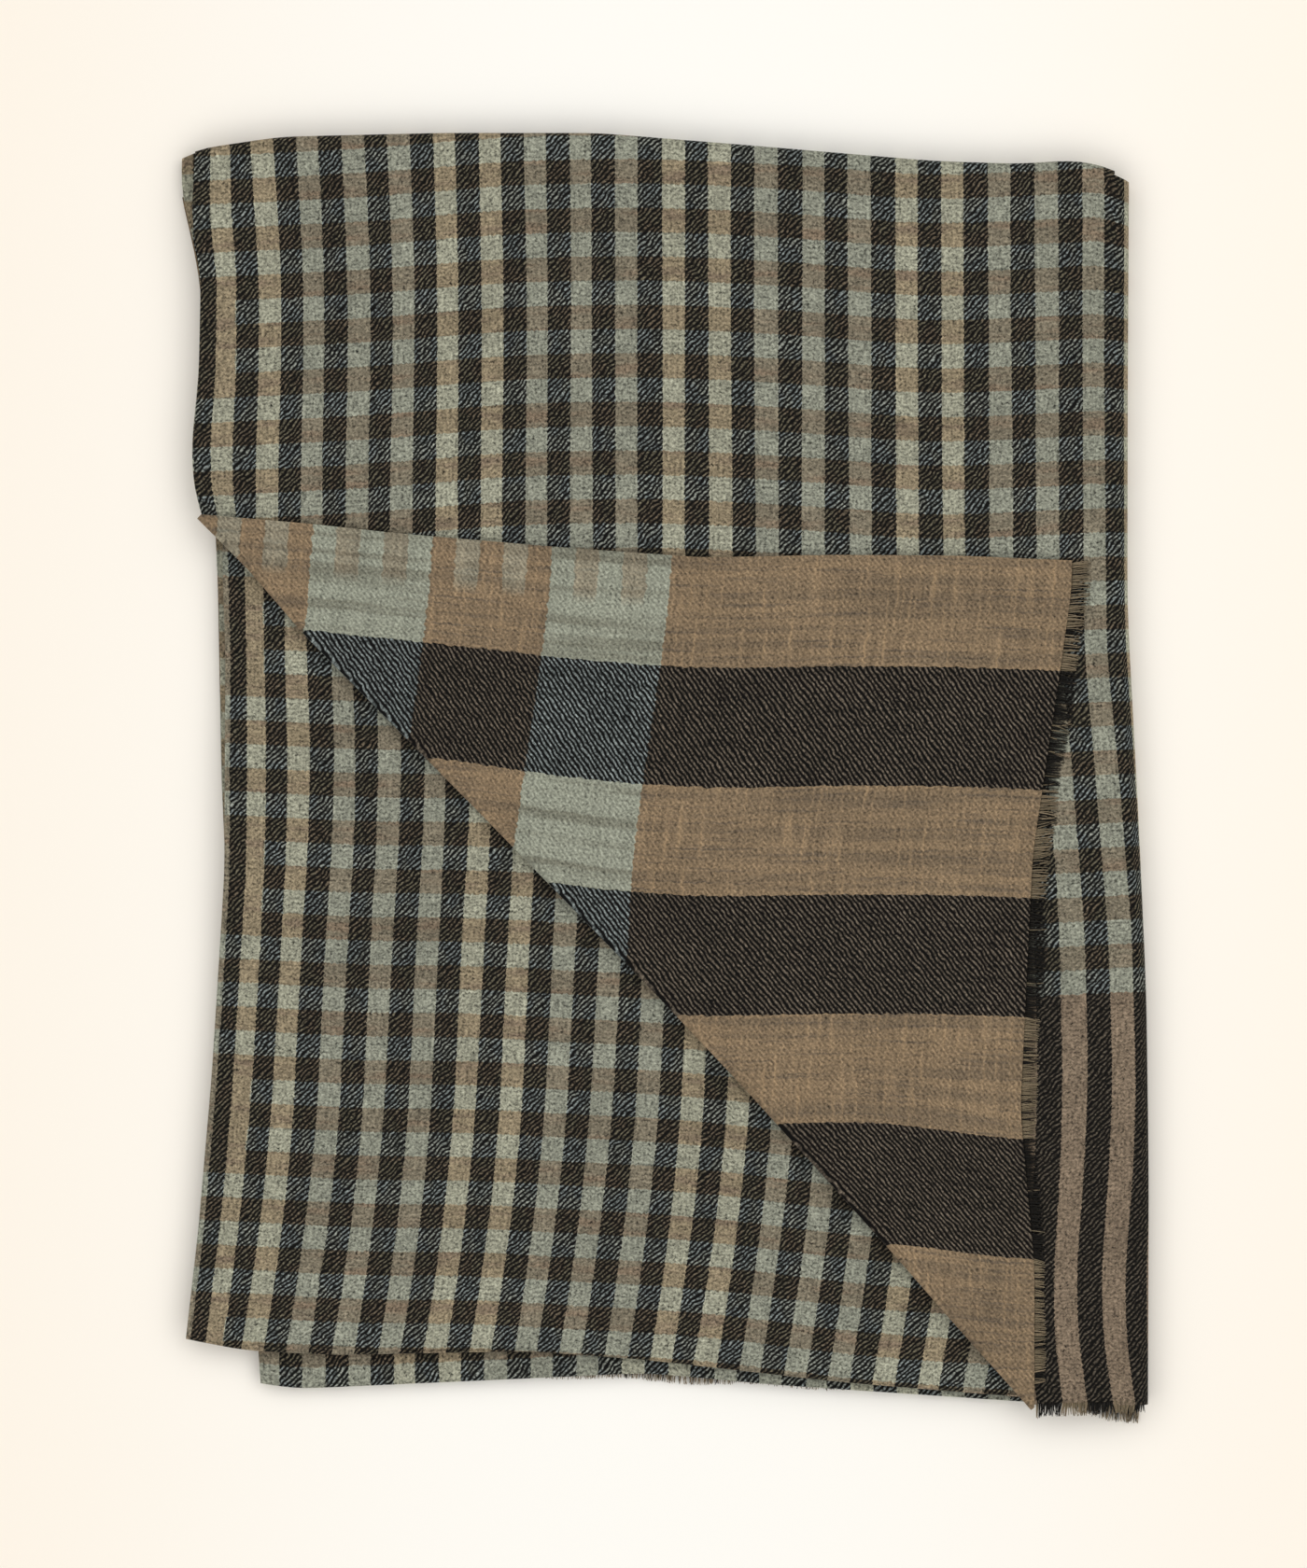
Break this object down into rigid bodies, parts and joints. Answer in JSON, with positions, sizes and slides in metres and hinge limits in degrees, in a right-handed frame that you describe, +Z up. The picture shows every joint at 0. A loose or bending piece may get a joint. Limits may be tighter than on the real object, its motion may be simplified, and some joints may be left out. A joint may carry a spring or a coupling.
{
  "type": "folded throw blanket",
  "caption": "Checked woven throw folded flat in thirds and then in half, with one top corner turned back and short fringed ends.",
  "frame": {"origin": "centre of the footprint, on the surface that the folded throw rests on", "axes": "+X towards the long side fold, +Y towards the top fold, +Z up out of the pile"},
  "size_m": [0.518, 0.6921, 0.01],
  "materials": {
    "face_cloth": "soft matt wool-type twill, small check",
    "reverse_cloth": "soft matt wool-type twill, large check",
    "fringe_yarn": "loose matt yarn"
  },
  "bodies": {
    "lower_half": {"outer_panel_lower": "face_cloth", "inner_panel_lower": "face_cloth", "middle_panel_lower": "face_cloth", "top_fold_lower": "face_cloth", "bottom_fold_lower": "face_cloth", "end_fringe_lower": "fringe_yarn", "inner_fringe_lower": "fringe_yarn", "side_fold_outer": "face_cloth", "side_fold_middle": "face_cloth", "side_fold_inner": "face_cloth"},
    "upper_half": {"top_panel": "face_cloth", "inner_panel_upper": "face_cloth", "middle_panel_upper": "face_cloth", "top_fold_upper": "face_cloth", "bottom_fold_upper": "face_cloth", "end_fringe_upper": "fringe_yarn", "inner_fringe_upper": "fringe_yarn", "corner_crease": "reverse_cloth"},
    "turned_corner": {"corner_flap": "reverse_cloth", "corner_fringe": "fringe_yarn"}
  },
  "joints": [
    {"name": "side_fold", "type": "hinge", "parent": "lower_half", "child": "upper_half", "pos_m": [0.24902, -0.0065, 0.005], "axis": [-0.0175, 0.9998, 0], "range_deg": [0, 179.8], "deforming": ["side_fold_outer", "side_fold_middle", "side_fold_inner"]},
    {"name": "corner_crease_fold", "type": "hinge", "parent": "upper_half", "child": "turned_corner", "pos_m": [-0.025, -0.096, 0.00875], "axis": [0.6821, -0.7313, 0], "range_deg": [0, 179.8], "deforming": ["corner_crease"]}
  ]
}
